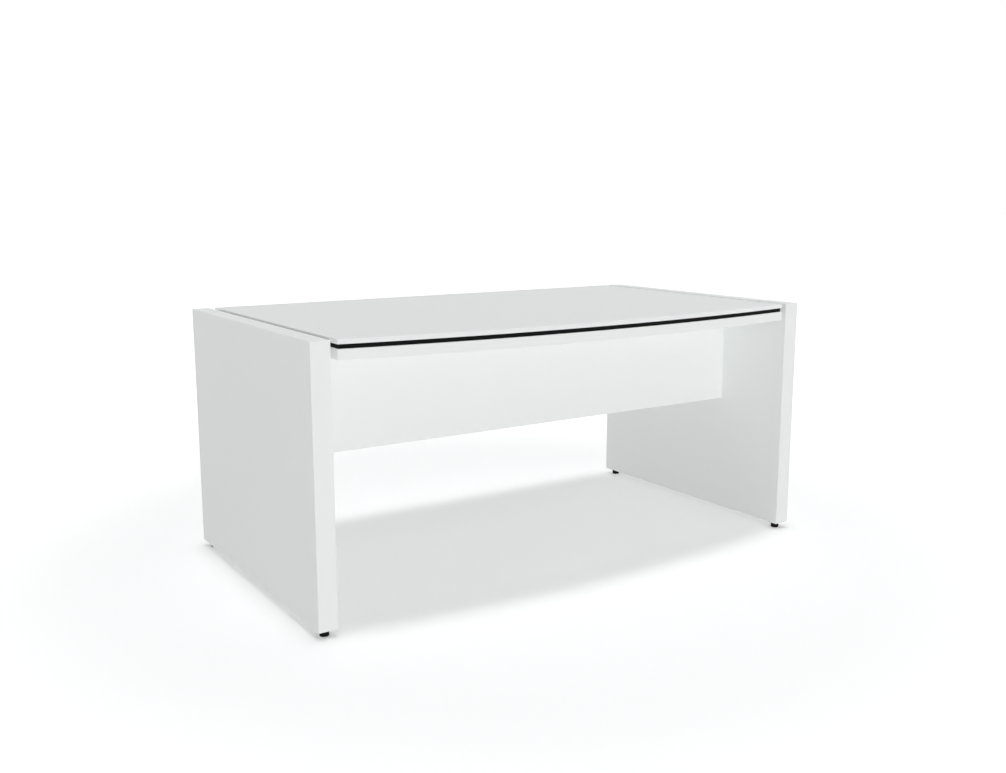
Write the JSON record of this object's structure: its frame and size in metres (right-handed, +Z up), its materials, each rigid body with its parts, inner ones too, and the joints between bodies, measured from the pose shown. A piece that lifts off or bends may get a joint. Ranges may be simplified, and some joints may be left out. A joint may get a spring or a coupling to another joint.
{
  "type": "executive desk",
  "caption": "Executive desk with a bowed layered top hung between thick side panels, a set-back modesty panel and screw-adjusted levelling feet.",
  "frame": {"origin": "on the floor, under the middle of the desk's outline, the bow included", "axes": "+X along the desk's width, -Y towards the visitor on the bowed side, +Z up"},
  "size_m": [1.7, 0.966, 0.758],
  "materials": {
    "white_melamine": "fine-textured white melamine facing on chipboard",
    "white_edging": "white ABS edge band with rounded arrises",
    "black_board": "through-coloured black fibreboard, satin",
    "black_lacquer": "black lacquered spacer bar, satin",
    "black_plastic": "black moulded polyamide",
    "zinc": "zinc-plated, dull",
    "steel": "bright plated steel",
    "nylon": "natural nylon"
  },
  "bodies": {
    "desk": {"left_side_panel": "white_melamine", "left_panel_front_band": "white_edging", "left_panel_back_band": "white_edging", "left_panel_top_band": "white_edging", "right_side_panel": "white_melamine", "right_panel_front_band": "white_edging", "right_panel_back_band": "white_edging", "right_panel_top_band": "white_edging", "top_upper_board": "white_melamine", "upper_board_front_band": "white_edging", "upper_board_back_band": "white_edging", "upper_board_left_band": "white_edging", "upper_board_right_band": "white_edging", "top_core_board": "black_board", "top_lower_board": "white_melamine", "lower_board_front_band": "white_edging", "lower_board_back_band": "white_edging", "lower_board_left_band": "white_edging", "lower_board_right_band": "white_edging", "modesty_panel": "white_melamine", "modesty_bottom_band": "white_edging", "left_spacer_rail": "black_lacquer", "right_spacer_rail": "black_lacquer", "left_top_bolt_1": "steel", "left_top_cam_1": "zinc", "left_top_bolt_2": "steel", "left_top_cam_2": "zinc", "left_top_bolt_3": "steel", "left_top_cam_3": "zinc", "left_modesty_bolt_1": "steel", "left_modesty_cam_1": "zinc", "left_modesty_bolt_2": "steel", "left_modesty_cam_2": "zinc", "right_top_bolt_1": "steel", "right_top_cam_1": "zinc", "right_top_bolt_2": "steel", "right_top_cam_2": "zinc", "right_top_bolt_3": "steel", "right_top_cam_3": "zinc", "right_modesty_bolt_1": "steel", "right_modesty_cam_1": "zinc", "right_modesty_bolt_2": "steel", "right_modesty_cam_2": "zinc", "modesty_bracket_1": "zinc", "modesty_bracket_2": "zinc", "modesty_bracket_3": "zinc", "front_left_foot_insert": "nylon", "back_left_foot_insert": "nylon", "front_right_foot_insert": "nylon", "back_right_foot_insert": "nylon"},
    "front_left_stem": {"front_left_foot_stem": "steel"},
    "front_left_pad": {"front_left_foot_pad": "black_plastic"},
    "back_left_stem": {"back_left_foot_stem": "steel"},
    "back_left_pad": {"back_left_foot_pad": "black_plastic"},
    "front_right_stem": {"front_right_foot_stem": "steel"},
    "front_right_pad": {"front_right_foot_pad": "black_plastic"},
    "back_right_stem": {"back_right_foot_stem": "steel"},
    "back_right_pad": {"back_right_foot_pad": "black_plastic"}
  },
  "joints": [
    {"name": "front_left_foot_travel", "type": "slide", "parent": "desk", "child": "front_left_stem", "axis": [0, 0, -1], "range_m": [0, 0.011]},
    {"name": "front_left_foot_turn", "type": "hinge", "parent": "front_left_stem", "child": "front_left_pad", "pos_m": [-0.823, -0.388, 0.01], "axis": [0, 0, -1], "range_deg": [0, 2880]},
    {"name": "back_left_foot_travel", "type": "slide", "parent": "desk", "child": "back_left_stem", "axis": [0, 0, -1], "range_m": [0, 0.011]},
    {"name": "back_left_foot_turn", "type": "hinge", "parent": "back_left_stem", "child": "back_left_pad", "pos_m": [-0.823, 0.454, 0.01], "axis": [0, 0, -1], "range_deg": [0, 2880]},
    {"name": "front_right_foot_travel", "type": "slide", "parent": "desk", "child": "front_right_stem", "axis": [0, 0, -1], "range_m": [0, 0.011]},
    {"name": "front_right_foot_turn", "type": "hinge", "parent": "front_right_stem", "child": "front_right_pad", "pos_m": [0.823, -0.388, 0.01], "axis": [0, 0, -1], "range_deg": [0, 2880]},
    {"name": "back_right_foot_travel", "type": "slide", "parent": "desk", "child": "back_right_stem", "axis": [0, 0, -1], "range_m": [0, 0.011]},
    {"name": "back_right_foot_turn", "type": "hinge", "parent": "back_right_stem", "child": "back_right_pad", "pos_m": [0.823, 0.454, 0.01], "axis": [0, 0, -1], "range_deg": [0, 2880]}
  ],
  "couplings": [
    {"joint": "front_left_foot_travel", "follows": "front_left_foot_turn", "m_per_rad": 0.0001989},
    {"joint": "back_left_foot_travel", "follows": "back_left_foot_turn", "m_per_rad": 0.0001989},
    {"joint": "front_right_foot_travel", "follows": "front_right_foot_turn", "m_per_rad": 0.0001989},
    {"joint": "back_right_foot_travel", "follows": "back_right_foot_turn", "m_per_rad": 0.0001989}
  ]
}
